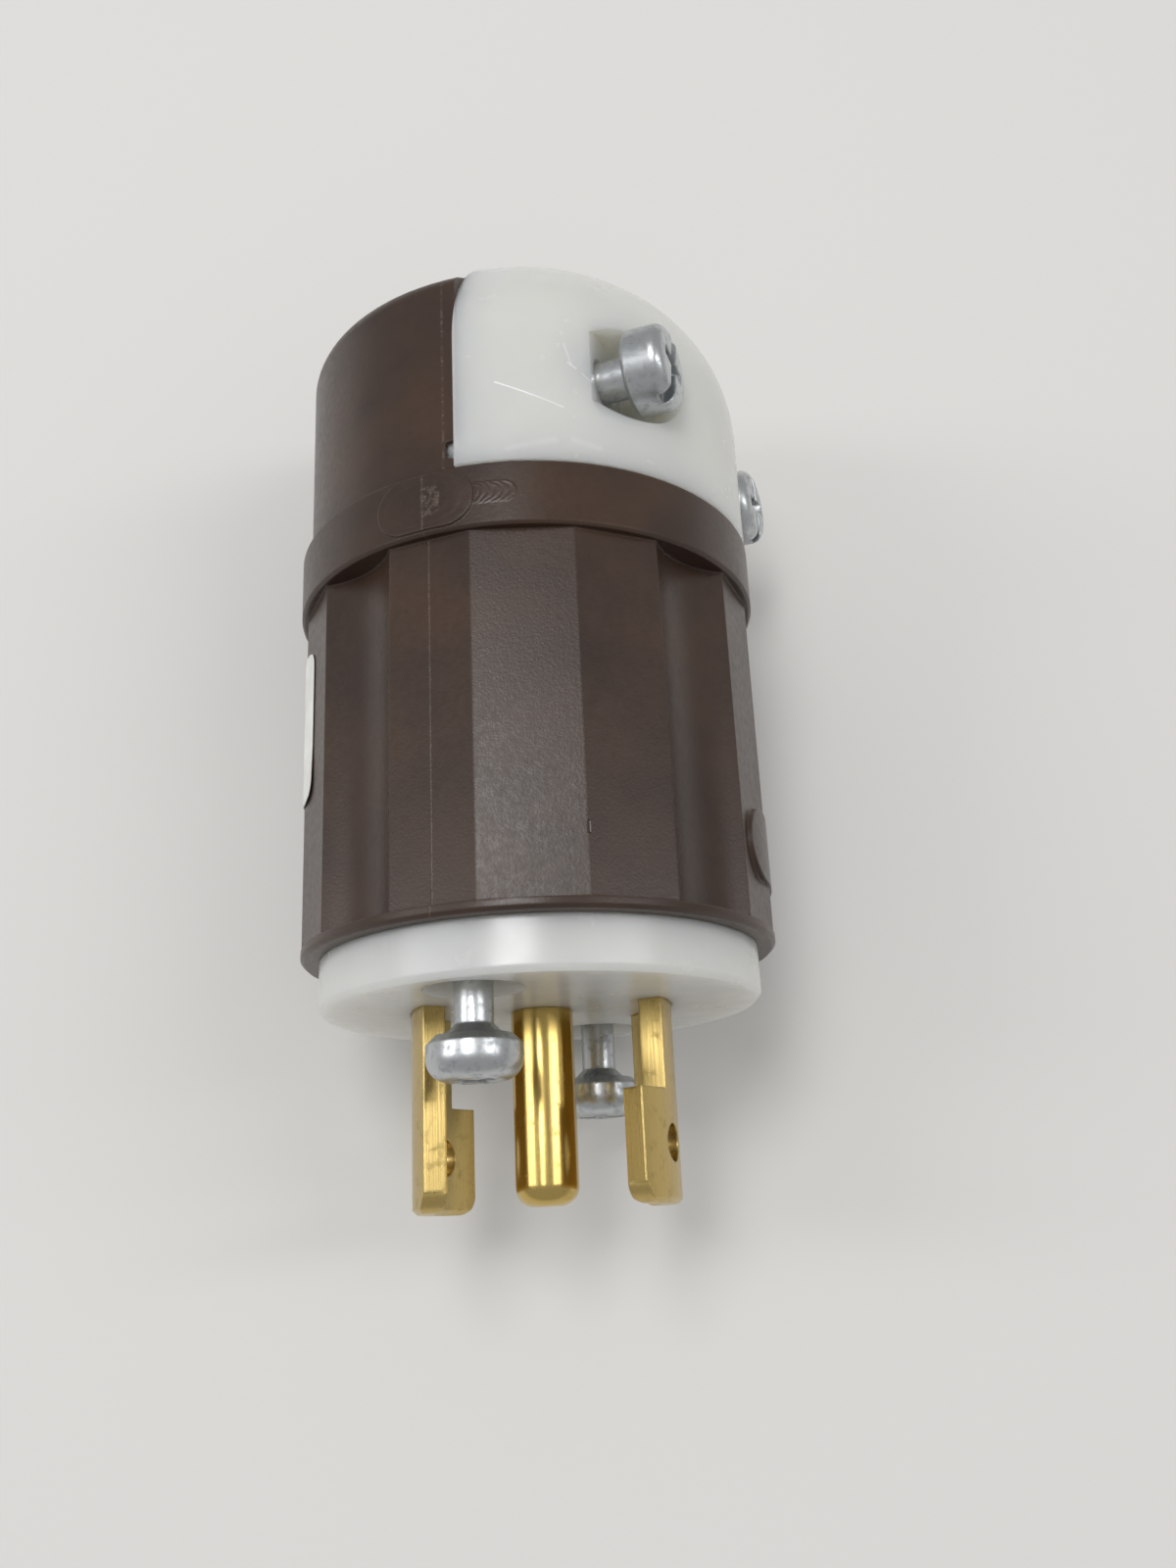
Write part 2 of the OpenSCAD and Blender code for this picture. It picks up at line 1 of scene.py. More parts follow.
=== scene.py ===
"""Dresses the locking power plug: a finish for every node, and the small pieces that ride on it."""
import bpy
import numpy as np
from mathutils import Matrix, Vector


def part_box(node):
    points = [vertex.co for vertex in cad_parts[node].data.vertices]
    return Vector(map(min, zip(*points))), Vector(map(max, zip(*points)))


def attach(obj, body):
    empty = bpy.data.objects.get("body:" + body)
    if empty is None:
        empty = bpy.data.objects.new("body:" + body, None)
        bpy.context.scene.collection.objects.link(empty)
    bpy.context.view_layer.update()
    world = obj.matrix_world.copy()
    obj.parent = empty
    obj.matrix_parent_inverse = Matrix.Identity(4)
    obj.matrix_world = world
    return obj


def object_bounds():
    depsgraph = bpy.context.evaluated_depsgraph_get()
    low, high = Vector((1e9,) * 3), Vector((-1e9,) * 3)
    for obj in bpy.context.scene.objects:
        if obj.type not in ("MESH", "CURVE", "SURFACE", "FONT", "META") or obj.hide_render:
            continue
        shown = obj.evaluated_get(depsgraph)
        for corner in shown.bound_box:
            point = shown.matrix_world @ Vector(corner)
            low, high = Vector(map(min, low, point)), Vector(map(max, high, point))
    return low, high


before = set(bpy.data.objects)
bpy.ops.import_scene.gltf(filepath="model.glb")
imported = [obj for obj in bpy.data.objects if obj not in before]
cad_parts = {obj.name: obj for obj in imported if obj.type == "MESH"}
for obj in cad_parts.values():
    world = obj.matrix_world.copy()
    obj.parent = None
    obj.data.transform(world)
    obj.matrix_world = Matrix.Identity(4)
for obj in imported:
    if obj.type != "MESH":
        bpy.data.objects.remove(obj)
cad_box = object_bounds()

MM = 0.001

# ---- places on the plug, in millimetres, worked out from the frame --------------------------

HOUSING_LOW, HOUSING_HIGH = (np.array(corner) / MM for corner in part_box("housing"))
CLAMP_LOW = np.array(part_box("cord_clamp")[0]) / MM

GRIP_FRONT = HOUSING_LOW[1]           # where the housing starts behind the face disc
COLLAR_BACK = CLAMP_LOW[1]            # the collar's rear face, which the clamp stands on
COLLAR_WIDTH = 4.7
GRIP_R = 16.5                         # radius at the corners of the grip's flats
FLAT_HALF = np.radians(12)            # half the angle of a land's middle flat
LAND_HALF = np.radians(33)            # half the angle of a land
CLAMP_TURN = np.radians(22.5)         # direction of the clamp above the floor plane
GATE_TURN = CLAMP_TURN + np.pi / 2    # the mould line and the gate lie this way from the axis
GATE_Y = COLLAR_BACK - COLLAR_WIDTH / 2
ACROSS = np.array([np.cos(CLAMP_TURN), 0, np.sin(CLAMP_TURN)])    # out of the parting face
ALONG = np.array([np.cos(GATE_TURN), 0, np.sin(GATE_TURN)])       # towards the gate

# the housing's half of the dome, from the collar back to the cord end
DOME_R = 16.3
DOME_END_R = 7.1
DOME_END = HOUSING_HIGH[1]
DOME_FALL = 7.1                       # length of the sloping end along the axis
DOME_ROUND = 1.4                      # radius where the wall turns into the slope
PARTING_V = 1.2                       # height of the housing's parting face above the axis
CLAMP_FACE_V = 2.2                    # height of the clamp's face
PEG_Y = COLLAR_BACK + 2.0             # place of the clamp's locating pegs

# the brown edge in the parting
LIP_WALL = 1.1                        # its thickness, measured along the radius
LIP_THIN = 0.8                        # how much thinner it gets beside the peg
LIP_PLAY = 0.05                       # its distance from the clamp's face
NOTCH_DEPTH = 0.78
NOTCH_Y = PEG_Y - 0.37

# a nick on the edge of the grip's middle flat
NICK_TURN = np.radians(77.8)
NICK_R = 16.5

# marks on the clamp's wall, pale scratches and then two soft painted highlights along its foot:
# where each starts and ends, as degrees above the floor plane and a place along the axis, then its width
# and its strength
CLAMP_R = 16.85
CLAMP_SCRATCHES_AND_PAINTED_HIGHLIGHTS = (((95.0, 39.8), (87.3, 38.8), 0.10, 0.9),
               ((87.3, 38.8), (79.5, 37.8), 0.10, 0.9),
               ((78.0, 41.4), (76.1, 40.95), 0.10, 0.9),
               ((74.7, 40.6), (72.8, 40.15), 0.10, 0.9),
               ((78.8, 42.9), (77.2, 41.2), 0.10, 0.5),
               ((92.6, 34.6), (81.9, 35.2), 0.42, 0.16),
               ((77.3, 35.3), (71.4, 34.9), 0.42, 0.16))


def rgb(code):
    """An sRGB colour such as "#4a362e" as linear red, green, blue and alpha."""
    part = np.array([int(code[i:i + 2], 16) / 255 for i in (1, 3, 5)])
    linear = np.where(part <= 0.04045, part / 12.92, ((part + 0.055) / 1.055) ** 2.4)
    return (*linear.tolist(), 1.0)


# ---- camera, lamps and floor ----------------------------------------------------------------

def set_camera():
    """A close camera above the plug, a little in front of its face, looking down at it."""
    camera = bpy.data.cameras.new("view")
    camera.sensor_width = 36
    camera.lens = 31.38
    camera.clip_start = 0.005
    view = bpy.data.objects.new("view", camera)
    bpy.context.scene.collection.objects.link(view)
    view.location = Vector((1.243, -15.372, 95.485)) * MM
    view.rotation_euler = np.radians([18.571, -0.784, -2.578]).tolist()
    bpy.context.scene.camera = view


def add_lamp(name, place, size, power):
    """A soft rectangular lamp at a place in metres, facing the middle of the plug."""
    lamp = bpy.data.lights.new(name, "AREA")
    lamp.shape = "RECTANGLE"
    lamp.size, lamp.size_y = size
    lamp.energy = power
    holder = bpy.data.objects.new(name, lamp)
    bpy.context.scene.collection.objects.link(holder)
    holder.location = place
    holder.rotation_euler = (Vector((0, 0.02, 0)) - Vector(place)).to_track_quat("-Z", "Y").to_euler()


def set_stage():
    """A pale matt floor under the plug, an even pale sky, and three soft lamps."""
    bpy.context.scene.view_settings.view_transform = "Standard"
    world = bpy.data.worlds.new("room")
    bpy.context.scene.world = world
    world.use_nodes = True
    world.node_tree.nodes["Background"].inputs["Color"].default_value = (1, 1, 1, 1)
    world.node_tree.nodes["Background"].inputs["Strength"].default_value = 0.42
    add_lamp("key", (-0.10, 0.12, 0.50), (0.20, 0.14), 0.90)
    add_lamp("right", (0.38, 0.06, 0.45), (0.08, 0.34), 0.50)
    add_lamp("left", (-0.52, 0.06, 0.36), (0.12, 0.34), 0.60)
    x, y = np.meshgrid([-1.2, 1.2], [-1.2, 1.2])
    corners = np.column_stack([x.ravel(), y.ravel(), np.full(4, cad_box[0][2])])
    mesh = bpy.data.meshes.new("floor")
    mesh.from_pydata(corners.tolist(), [], [(0, 1, 3, 2)])
    floor = bpy.data.objects.new("floor", mesh)
    bpy.context.scene.collection.objects.link(floor)
    floor.data.materials.append(make_floor())


# ---- building materials ---------------------------------------------------------------------

class Finish:
    """A material under construction: its shader, and short names for the nodes that feed it."""

    def __init__(self, name, colour, roughness, **sockets):
        self.material = bpy.data.materials.new(name)
        self.material.use_nodes = True
        self.nodes = self.material.node_tree.nodes
        self.shader = self.nodes["Principled BSDF"]
        self.place = self.nodes.new("ShaderNodeTexCoord").outputs["Object"]
        self.shader.inputs["Base Color"].default_value = colour
        self.shader.inputs["Roughness"].default_value = roughness
        for socket, value in sockets.items():
            self.shader.inputs[socket.replace("_", " ")].default_value = value
        self.heights = []

    def link(self, source, target):
        self.material.node_tree.links.new(source, target)

    def set_or_link(self, socket, value):
        if isinstance(value, bpy.types.NodeSocket):
            self.link(value, socket)
        else:
            socket.default_value = value

    def math(self, operation, a, b=0.0, clamp=False):
        node = self.nodes.new("ShaderNodeMath")
        node.operation = operation
        node.use_clamp = clamp
        self.set_or_link(node.inputs[0], a)
        self.set_or_link(node.inputs[1], b)
        return node.outputs[0]

    def vector(self, operation, a, b=(0, 0, 0)):
        """The vector result of an operation on two vectors, or its value for a length or a dot."""
        node = self.nodes.new("ShaderNodeVectorMath")
        node.operation = operation
        self.set_or_link(node.inputs[0], a)
        self.set_or_link(node.inputs[1], b)
        return node.outputs["Value" if operation in ("LENGTH", "DOT_PRODUCT", "DISTANCE") else "Vector"]

    def stretched(self, sizes):
        """Object coordinates, counted on each axis in steps of a size in millimetres."""
        node = self.nodes.new("ShaderNodeMapping")
        node.vector_type = "TEXTURE"
        self.link(self.place, node.inputs["Vector"])
        node.inputs["Scale"].default_value = tuple(size * MM for size in sizes)
        return node.outputs["Vector"]

    def noise(self, *sizes, detail=2.0, rough=0.5):
        """Noise from 0 to 1 with grains of one size in millimetres, or of three on the axes."""
        node = self.nodes.new("ShaderNodeTexNoise")
        self.link(self.stretched(sizes if len(sizes) == 3 else sizes * 3), node.inputs["Vector"])
        node.inputs["Scale"].default_value = 1.0
        node.inputs["Detail"].default_value = detail
        node.inputs["Roughness"].default_value = rough
        return node.outputs["Fac"]

    def cells(self, size):
        """The distance to the nearest of many scattered points, size millimetres apart."""
        node = self.nodes.new("ShaderNodeTexVoronoi")
        self.link(self.stretched((size,) * 3), node.inputs["Vector"])
        node.inputs["Scale"].default_value = 1.0
        return node.outputs["Distance"]

    def ramp(self, value, low, high, out_low=0.0, out_high=1.0, smooth=False):
        """A value carried from one range to another and held at the ends."""
        node = self.nodes.new("ShaderNodeMapRange")
        node.interpolation_type = "SMOOTHSTEP" if smooth else "LINEAR"
        self.link(value, node.inputs["Value"])
        limits = {"From Min": low, "From Max": high, "To Min": out_low, "To Max": out_high}
        for socket, number in limits.items():
            node.inputs[socket].default_value = number
        return node.outputs["Result"]

    def mix(self, factor, a, b):
        """A colour between a and b, each a colour or a socket."""
        node = self.nodes.new("ShaderNodeMix")
        node.data_type = "RGBA"
        self.set_or_link(node.inputs["Factor"], factor)
        self.set_or_link(node.inputs[6], a)
        self.set_or_link(node.inputs[7], b)
        return node.outputs[2]

    def near_plane(self, normal, offset, width):
        """1 on a plane through the plug and 0 past a width from it, both in millimetres."""
        height = self.vector("DOT_PRODUCT", self.place, tuple(normal))
        apart = self.math("ABSOLUTE", self.math("SUBTRACT", height, offset * MM))
        return self.ramp(apart, 0.0, width * MM, 1.0, 0.0, smooth=True)

    def near_stroke(self, start, end, width):
        """1 on a straight stroke between two points, and 0 past a width from it, in millimetres:
        the distance from a place to the nearest point of the stroke."""
        start, run = np.array(start) * MM, (np.array(end) - np.array(start)) * MM
        offset = self.vector("SUBTRACT", self.place, tuple(start))
        share = self.vector("DOT_PRODUCT", offset, tuple(run))
        share = self.math("MULTIPLY", share, 1 / float(run @ run), clamp=True)
        nearest = self.vector("SCALE", tuple(run))
        self.link(share, nearest.node.inputs["Scale"])
        return self.ramp(self.vector("DISTANCE", offset, nearest), 0.0, width * MM, 1.0, 0.0, smooth=True)

    def along_axis(self, direction):
        """How far a place lies along a direction, in millimetres."""
        return self.math("DIVIDE", self.vector("DOT_PRODUCT", self.place, tuple(direction)), MM)

    def product(self, *factors):
        """Several factors multiplied together."""
        result = factors[0]
        for factor in factors[1:]:
            result = self.math("MULTIPLY", result, factor)
        return result

    def within(self, value, middle, full, gone):
        """1 while a value is within a distance of a middle, and 0 past a longer one."""
        return self.ramp(self.math("ABSOLUTE", self.math("SUBTRACT", value, middle)), gone, full)

    def edges(self, radius):
        """How near a place is to an edge: 0 on a flat, up to 1 within a radius in millimetres of an edge.
        The metals use it for worn edges, the brown nylon for a painted highlight on its edges.
        """
        bevel = self.nodes.new("ShaderNodeBevel")
        bevel.samples = 4
        bevel.inputs["Radius"].default_value = radius * MM
        true_normal = self.nodes.new("ShaderNodeNewGeometry").outputs["Normal"]
        same = self.vector("DOT_PRODUCT", bevel.outputs["Normal"], true_normal)
        return self.ramp(same, 1.0, 0.82, 0.0, 1.0)

    def bump(self, height, depth):
        """Adds a relief whose full height is a depth in millimetres."""
        self.heights.append((height, depth))

    def finish(self, soften=0.0):
        """Chains the reliefs, starting from edges softened over a radius in millimetres."""
        normal = None
        if soften:
            bevel = self.nodes.new("ShaderNodeBevel")
            bevel.samples = 4
            bevel.inputs["Radius"].default_value = soften * MM
            normal = bevel.outputs["Normal"]
        for height, depth in self.heights:
            node = self.nodes.new("ShaderNodeBump")
            node.inputs["Strength"].default_value = 1.0
            node.inputs["Distance"].default_value = depth * MM
            self.link(height, node.inputs["Height"])
            if normal:
                self.link(normal, node.inputs["Normal"])
            normal = node.outputs["Normal"]
        if normal:
            self.link(normal, self.shader.inputs["Normal"])
        return self.material


# ---- finishes -------------------------------------------------------------------------------

def make_floor():
    """Pale matt card with a faint fibre."""
    card = Finish("pale_card", (0.80, 0.79, 0.77, 1), 0.9)
    card.bump(card.noise(0.6, detail=4), 0.01)
    return card.finish()


def add_joint_lines(nylon, across, back):
    """The mould line along the collar and grip, and the specks along the dome's joint: each a thin
    band about a plane, broken up by a fine noise. Returns both together, the mask of their painted
    highlight."""
    crumbs = nylon.ramp(nylon.noise(0.30, detail=2), 0.50, 0.64)
    seam = nylon.product(nylon.near_plane(ACROSS, 0.0, 0.10), nylon.math("LESS_THAN", back, COLLAR_BACK),
                         nylon.ramp(crumbs, 0.0, 1.0, 0.35, 1.0))
    joint = nylon.product(nylon.near_plane(ACROSS, PARTING_V, 0.13), crumbs,
                          nylon.math("GREATER_THAN", back, COLLAR_BACK))
    nylon.bump(seam, 0.05)
    nylon.bump(joint, 0.03)
    return nylon.math("MAXIMUM", seam, joint)


def add_gate_marks(nylon, across, back):
    """The gate's marks on the collar. The scar is a rough patch. The tongue beside it is a low
    strip with a round end, crossed by bowed ripples: the sine of the place across plus a share of
    the squared distance from its middle line. Faint oval rings run about the gate. Returns the
    scar."""
    gate_side = nylon.math("GREATER_THAN", nylon.along_axis(ALONG), 10.0)
    off_gate = nylon.math("SUBTRACT", back, GATE_Y)
    off_squared = nylon.product(off_gate, off_gate)
    waver = nylon.product(nylon.noise(1.2, detail=1), 0.8)

    scar = nylon.product(nylon.within(across, 0.55, 0.45, 0.75), nylon.within(back, GATE_Y, 0.8, 1.15),
                         gate_side, nylon.ramp(nylon.noise(0.45, detail=2), 0.44, 0.58))
    nylon.bump(scar, 0.06)

    past = nylon.math("MAXIMUM", nylon.math("SUBTRACT", across, 5.5), 0.0)
    from_tongue = nylon.math("ADD", nylon.product(past, past), off_squared)
    tongue = nylon.product(nylon.ramp(from_tongue, 0.72, 0.50), nylon.ramp(across, 3.4, 3.8), gate_side)
    nylon.bump(tongue, 0.015)

    bow = nylon.math("ADD", nylon.product(off_squared, 1.1), waver)
    ripple = nylon.math("SINE", nylon.product(nylon.math("ADD", across, bow), 13.0))
    nylon.bump(nylon.product(ripple, tongue), 0.006)

    from_gate = nylon.math("ADD", nylon.product(across, across), nylon.product(off_squared, 2.5))
    from_gate = nylon.math("POWER", from_gate, 0.5)
    ring = nylon.math("SINE", nylon.product(nylon.math("ADD", from_gate, waver), 7.0))
    nylon.bump(nylon.product(ring, gate_side, nylon.ramp(from_gate, 3.6, 2.8),
                             nylon.ramp(from_gate, 0.8, 1.4), nylon.within(back, GATE_Y, 2.0, 2.3)), 0.005)
    return scar


def make_brown_nylon():
    """Dark brown moulded nylon: a fine satin grain, cloudy colour, a painted highlight along the edges,
    the mould line, the gate's scar with flow ripples beside it, a nick, and specks at the dome's joint;
    the mould line and the specks are painted lighter as a painted highlight on their flecks."""
    nylon = Finish("brown_nylon", rgb("#3a2a20"), 0.36, Specular_IOR_Level=0.5)
    across = nylon.along_axis(ACROSS)
    back = nylon.along_axis((0, 1, 0))

    cloud = nylon.ramp(nylon.noise(7.0, detail=3), 0.35, 0.68)
    tone = nylon.mix(cloud, rgb("#33231a"), rgb("#432f22"))
    speck = nylon.ramp(nylon.cells(2.6), 0.06, 0.03)
    tone = nylon.mix(nylon.product(speck, 0.5), tone, rgb("#241813"))
    # painted highlight: the edges of the flats and facets painted lighter, as edges that catch the light
    tone = nylon.mix(nylon.product(nylon.edges(0.22), 0.30), tone, rgb("#6e5642"))
    lines = add_joint_lines(nylon, across, back)
    # painted highlight: the raised mould line and the joint's specks painted lighter, as their flecks
    # catch the light
    tone = nylon.mix(nylon.product(lines, 0.28), tone, rgb("#857464"))
    scar = add_gate_marks(nylon, across, back)
    tone = nylon.mix(nylon.product(scar, 0.22), tone, rgb("#857464"))
    nylon.link(tone, nylon.shader.inputs["Base Color"])

    gloss = nylon.ramp(nylon.noise(0.5, detail=4), 0.3, 0.7, 0.29, 0.38)
    nylon.link(gloss, nylon.shader.inputs["Roughness"])
    nick = nylon.near_stroke(around(NICK_TURN, NICK_R, 8.85), around(NICK_TURN, NICK_R, 8.20), 0.16)
    nylon.bump(nick, -0.06)
    nylon.bump(nylon.noise(0.20, detail=3), 0.009)
    nylon.bump(nylon.noise(0.15, 5.0, 0.15, detail=4), 0.002)
    return nylon.finish(soften=0.20)


def make_white_nylon():
    """Milky nylon that light sinks into, glossy, with soft ripples, the clamp's pale scratches, and two
    soft painted highlights along its foot.
    """
    nylon = Finish("white_nylon", rgb("#d8dad5"), 0.27, Subsurface_Weight=0.85, Subsurface_Scale=0.007)
    nylon.shader.inputs["Subsurface Radius"].default_value = (1.0, 0.92, 0.78)
    cloud = nylon.ramp(nylon.noise(9.0, detail=3), 0.3, 0.7)
    tone = nylon.mix(cloud, rgb("#d6d7d3"), rgb("#deded8"))
    gloss = nylon.ramp(nylon.noise(2.2, detail=3), 0.3, 0.7, 0.18, 0.28)
    # each stroke is painted whiter: a pale scratch, or for the last two a painted highlight along the
    # clamp's foot
    for start, end, width, strength in CLAMP_SCRATCHES_AND_PAINTED_HIGHLIGHTS:
        ends = (around(np.radians(turn), CLAMP_R, y) for turn, y in (start, end))
        stroke = nylon.near_stroke(*ends, width)
        tone = nylon.mix(nylon.math("MULTIPLY", stroke, strength), tone, rgb("#ffffff"))
        nylon.bump(stroke, 0.02 * strength)
    nylon.link(tone, nylon.shader.inputs["Base Color"])
    nylon.link(gloss, nylon.shader.inputs["Roughness"])
    nylon.bump(nylon.noise(3.5, detail=1), 0.015)
    return nylon.finish(soften=0.20)


def make_brass(name, light, dark, roughness):
    """Rolled brass: fine lines along the plug's axis, dull spots, and bright rubbed edges."""
    brass = Finish(name, light, roughness, Metallic=1.0)
    spots = brass.ramp(brass.noise(0.9, detail=5, rough=0.65), 0.55, 0.72)
    tone = brass.mix(brass.math("MULTIPLY", spots, 0.40), light, dark)
    worn = brass.edges(0.12)
    tone = brass.mix(brass.math("MULTIPLY", worn, 0.5), tone, rgb("#ead798"))
    brass.link(tone, brass.shader.inputs["Base Color"])
    lines = brass.noise(0.08, 6.0, 0.08, detail=3)
    gloss = brass.math("ADD", brass.ramp(lines, 0.3, 0.7, roughness - 0.05, roughness + 0.05),
                       brass.math("MULTIPLY", spots, 0.10))
    brass.link(gloss, brass.shader.inputs["Roughness"])
    brass.bump(lines, 0.0025)
    brass.bump(brass.noise(2.0, detail=1), 0.004)
    return brass.finish(soften=0.20)


def make_plated_steel():
    """Zinc-plated steel: bright, slightly blue, with small dents and dull patches."""
    light, dull = rgb("#c3c6c8"), rgb("#8f9497")
    steel = Finish("plated_steel", light, 0.32, Metallic=1.0)
    dull_spots = steel.ramp(steel.noise(0.7, detail=5, rough=0.6), 0.5, 0.7)
    tone = steel.mix(steel.math("MULTIPLY", dull_spots, 0.7), light, dull)
    worn = steel.edges(0.12)
    tone = steel.mix(steel.math("MULTIPLY", worn, 0.4), tone, rgb("#e8ebec"))
    steel.link(tone, steel.shader.inputs["Base Color"])
    gloss = steel.math("ADD", steel.ramp(steel.noise(0.35, detail=3), 0.3, 0.7, 0.27, 0.37),
                       steel.math("MULTIPLY", dull_spots, 0.16))
    steel.link(gloss, steel.shader.inputs["Roughness"])
    steel.bump(steel.noise(1.2, detail=1), 0.006)
    steel.bump(steel.noise(0.15, detail=2), 0.0012)
    return steel.finish(soften=0.22)


def make_tan_board():
    """Pressed fibre board: warm tan with darker flecks."""
    board = Finish("tan_board", rgb("#9a7a55"), 0.7)
    fleck = board.ramp(board.noise(0.5, detail=4, rough=0.7), 0.45, 0.65)
    board.link(board.mix(fleck, rgb("#a98a63"), rgb("#7d6042")), board.shader.inputs["Base Color"])
    board.bump(board.noise(0.3, detail=3), 0.02)
    return board.finish(soften=0.1)


def make_green_screw():
    """A green dyed screw, its steel showing on worn edges."""
    screw = Finish("green_screw", rgb("#3f8a4e"), 0.35, Metallic=0.85)
    worn = screw.math("MULTIPLY", screw.edges(0.15), 0.7)
    shade = screw.mix(screw.noise(0.8, detail=3), rgb("#357a45"), rgb("#4f9b5d"))
    screw.link(screw.mix(worn, shade, rgb("#b9c2b9")), screw.shader.inputs["Base Color"])
    screw.bump(screw.noise(0.4, detail=3), 0.008)
    return screw.finish(soften=0.08)


def make_paper():
    """White paper: a soft fibre, a little warmer and greyer in places."""
    paper = Finish("label_paper", rgb("#eeeeea"), 0.62)
    tone = paper.mix(paper.ramp(paper.noise(2.5, detail=4), 0.35, 0.65), rgb("#e4e4df"), rgb("#f4f4f1"))
    paper.link(tone, paper.shader.inputs["Base Color"])
    paper.bump(paper.noise(0.15, detail=3), 0.008)
    return paper.finish()


# ---- new pieces -----------------------------------------------------------------------------

def add_surface(name, points, material, closed=False, smooth=True):
    """A mesh from a grid of points in millimetres, rows by columns, joined by quads. A closed one
    has its columns joined into a loop and its two ends capped."""
    rows, columns = points.shape[:2]
    index = np.arange(rows * columns).reshape(rows, columns)
    if closed:
        index = np.column_stack([index, index[:, :1]])
    quads = np.stack([index[:-1, :-1], index[:-1, 1:], index[1:, 1:], index[1:, :-1]], axis=-1)
    faces = quads.reshape(-1, 4).tolist()
    if closed:
        faces += [index[0, -2::-1].tolist(), index[-1, :-1].tolist()]
    mesh = bpy.data.meshes.new(name)
    mesh.from_pydata((points.reshape(-1, 3) * MM).tolist(), [], faces)
    mesh.polygons.foreach_set("use_smooth", np.full(len(mesh.polygons), smooth))
    piece = bpy.data.objects.new(name, mesh)
    bpy.context.scene.collection.objects.link(piece)
    mesh.materials.append(material)
    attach(piece, "root")
    return piece


def around(turn, radius, y):
    """Points at an angle above the floor plane, a radius from the axis, and a place along it."""
    return np.stack([radius * np.cos(turn), y + 0 * turn, radius * np.sin(turn)], axis=-1)


def land_radius(turn, centre):
    """How far a land's flats lie from the axis: each flat's own distance over the cosine of the
    angle from the middle of that flat."""
    off = (turn - centre + np.pi) % (2 * np.pi) - np.pi
    side_middle = (FLAT_HALF + LAND_HALF) / 2
    side_half = (LAND_HALF - FLAT_HALF) / 2
    middle = GRIP_R * np.cos(FLAT_HALF) / np.cos(off)
    side = GRIP_R * np.cos(side_half) / np.cos(np.abs(off) - side_middle)
    return np.where(np.abs(off) < FLAT_HALF, middle, side)


def dome_profile():
    """The dome's outline as places along the axis and radii: a straight wall, an arc that leaves it
    tangentially, and a straight slope that is tangent to the arc and ends at the cord hole."""
    arc_r, arc_y = DOME_R - DOME_ROUND, DOME_END - DOME_FALL
    to_end = np.array([DOME_END_R - arc_r, DOME_FALL])
    slope_turn = np.arctan2(to_end[1], to_end[0]) - np.arccos(DOME_ROUND / np.hypot(*to_end))
    wall = np.linspace(COLLAR_BACK + 0.02, arc_y, 280)
    turn = np.linspace(0, slope_turn, 16)[1:]
    y = np.concatenate([wall, arc_y + DOME_ROUND * np.sin(turn), [DOME_END]])
    r = np.concatenate([np.full(len(wall), DOME_R), arc_r + DOME_ROUND * np.cos(turn), [DOME_END_R]])
    return y, r


def add_parting_lip(brown, name, side):
    """The brown edge that fills the parting beside the clamp's face. Its section is a thin band
    between two radii and two heights above the parting, carried along the dome's outline. Near the
    locating peg the band gets thinner and its top dips, so that the peg shows in a notch."""
    y, outer = dome_profile()
    notch = np.clip((0.78 - np.abs(y - NOTCH_Y)) / 0.20, 0, 1)
    beside_peg = np.clip((1.15 - np.abs(y - PEG_Y)) / 0.20, 0, 1)
    top = CLAMP_FACE_V - LIP_PLAY - NOTCH_DEPTH * notch
    inner = outer - LIP_WALL + LIP_THIN * beside_peg
    share = np.linspace(0, 1, 6)
    height = PARTING_V + share * (top - PARTING_V)[:, None]
    out = np.sqrt(outer[:, None] ** 2 - height**2)
    within = np.sqrt(inner[:, None] ** 2 - height**2)
    rise = np.concatenate([height, height[:, ::-1]], axis=1)
    reach = side * np.concatenate([out, within[:, ::-1]], axis=1)
    points = rise[..., None] * ACROSS + reach[..., None] * ALONG + y[:, None, None] * np.array([0, 1, 0])
    lip = add_surface(name, points[:, ::side], brown, closed=True, smooth=False)


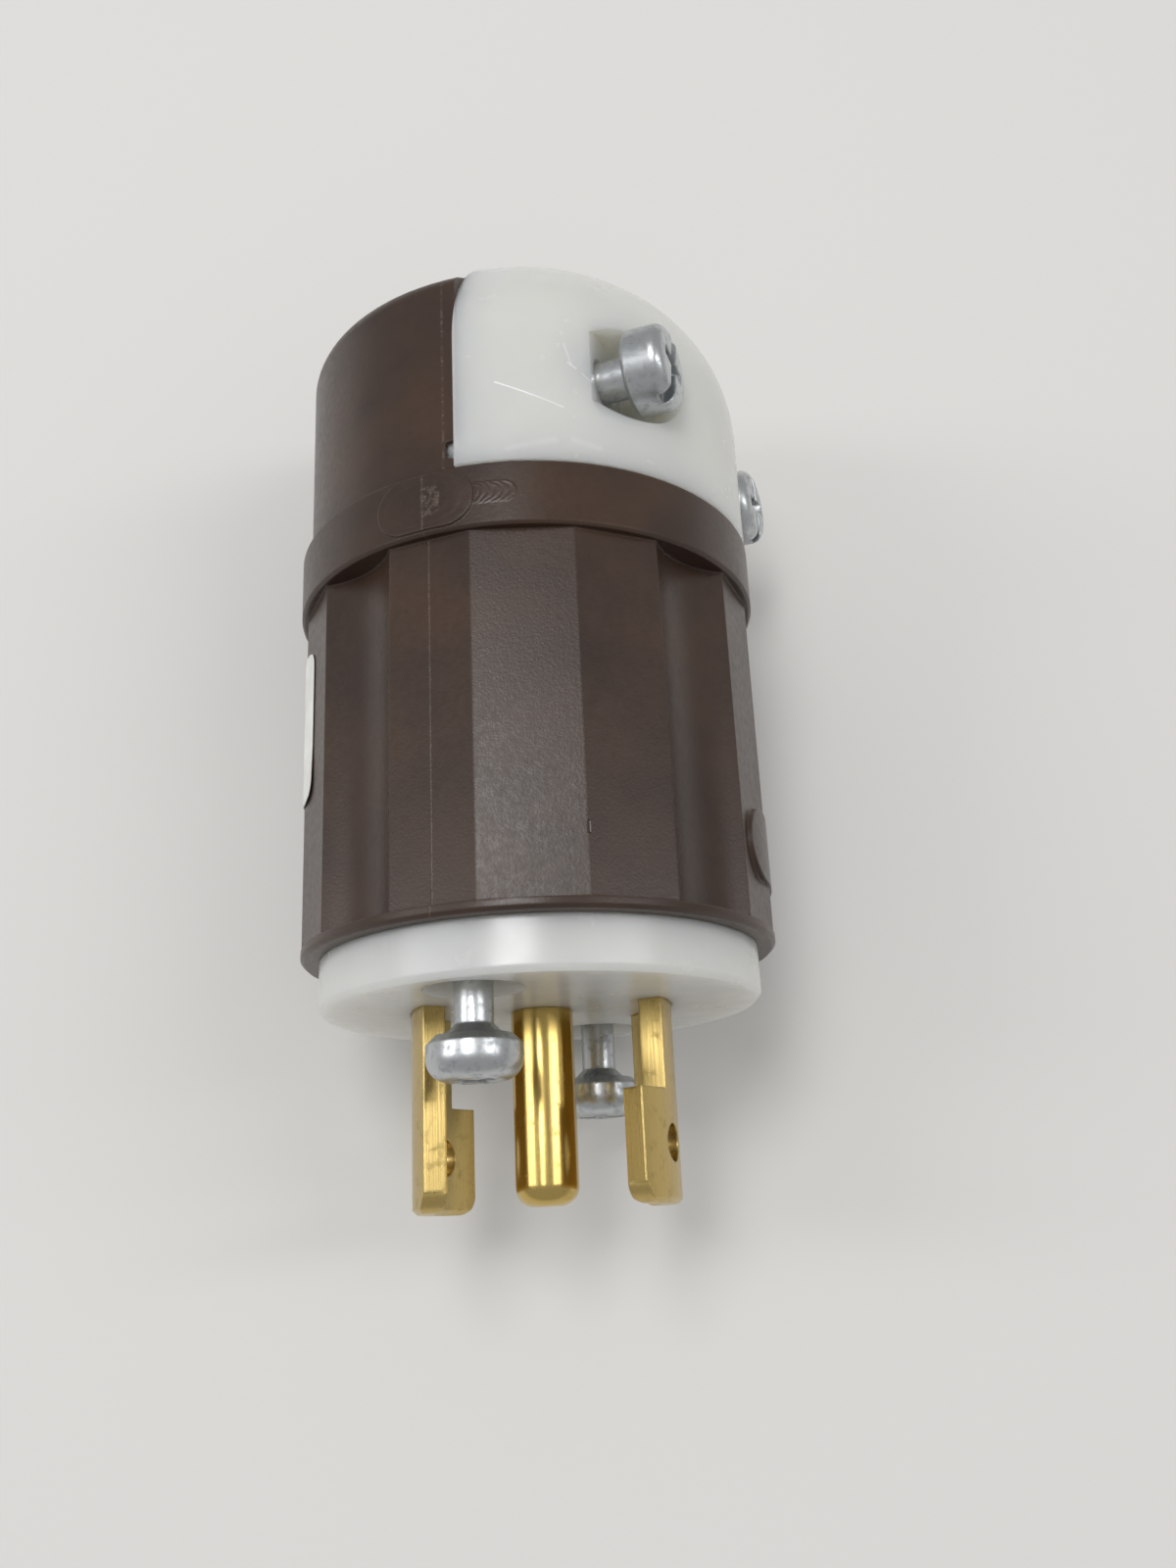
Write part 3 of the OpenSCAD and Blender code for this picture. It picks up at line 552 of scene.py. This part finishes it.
def add_label(paper):
    """A bare paper label on the left land. Its grid runs round the grip and along it, follows the
    flats, and its corners are rounded by pulling the ends of each row in as a circle would."""
    front, back = GRIP_FRONT + 11.0, GRIP_FRONT + 22.2
    high, low = np.radians(159), np.radians(203)
    corner = 1.4
    s, t = np.meshgrid(np.linspace(-1, 1, 61), np.linspace(0, 1, 41))
    half = GRIP_R * (low - high) / 2
    from_end = (back - front) * np.minimum(t, 1 - t)
    along_corner = np.clip(corner - from_end, 0, corner)
    inset = corner - np.sqrt(corner**2 - along_corner**2)
    turn = (high + low) / 2 + s * (half - inset) / GRIP_R
    lift = 0.05 + 0.10 * np.clip(-s - 0.8, 0, 1) / 0.2 * np.clip(1 - 3 * t, 0, 1)
    radius = land_radius(turn, np.pi) + lift
    label = add_surface("paper_label", around(turn, radius, front + t * (back - front)), paper)
    sheet = label.modifiers.new("thickness", "SOLIDIFY")
    sheet.thickness = 0.07 * MM
    sheet.offset = -1


# ---- dressing the plug ----------------------------------------------------------------------

def dress(nodes, material):
    """Gives a material to CAD nodes, in place of the one they came with."""
    for node in nodes:
        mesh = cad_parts[node].data
        mesh.materials.clear()
        mesh.materials.append(material)


set_camera()
set_stage()

steel = make_plated_steel()
brown = make_brown_nylon()
dress(["housing"], brown)
dress(["cord_clamp", "contact_carrier"], make_white_nylon())
dress(["terminal_cover"], make_tan_board())
dress(["line_blade", "neutral_blade"], make_brass("blade_brass", rgb("#c4ab6c"), rgb("#8f7a44"), 0.29))
dress(["earth_pin", "earth_strap"], make_brass("pin_brass", rgb("#ccb069"), rgb("#9b8040"), 0.21))
dress(["line_terminal_screw"], make_brass("screw_brass", rgb("#d8b05c"), rgb("#9a7435"), 0.26))
dress(["earth_terminal_screw"], make_green_screw())
dress([f"{wire}_wire_clamp" for wire in ("line", "neutral", "earth")], steel)
dress(["neutral_terminal_screw", "near_front_screw", "far_front_screw"], steel)
dress([f"{place}_clamp_{piece}" for place in ("upper", "lower") for piece in ("screw", "nut")], steel)

add_parting_lip(brown, "upper_parting_lip", 1)
add_parting_lip(brown, "lower_parting_lip", -1)
add_label(make_paper())
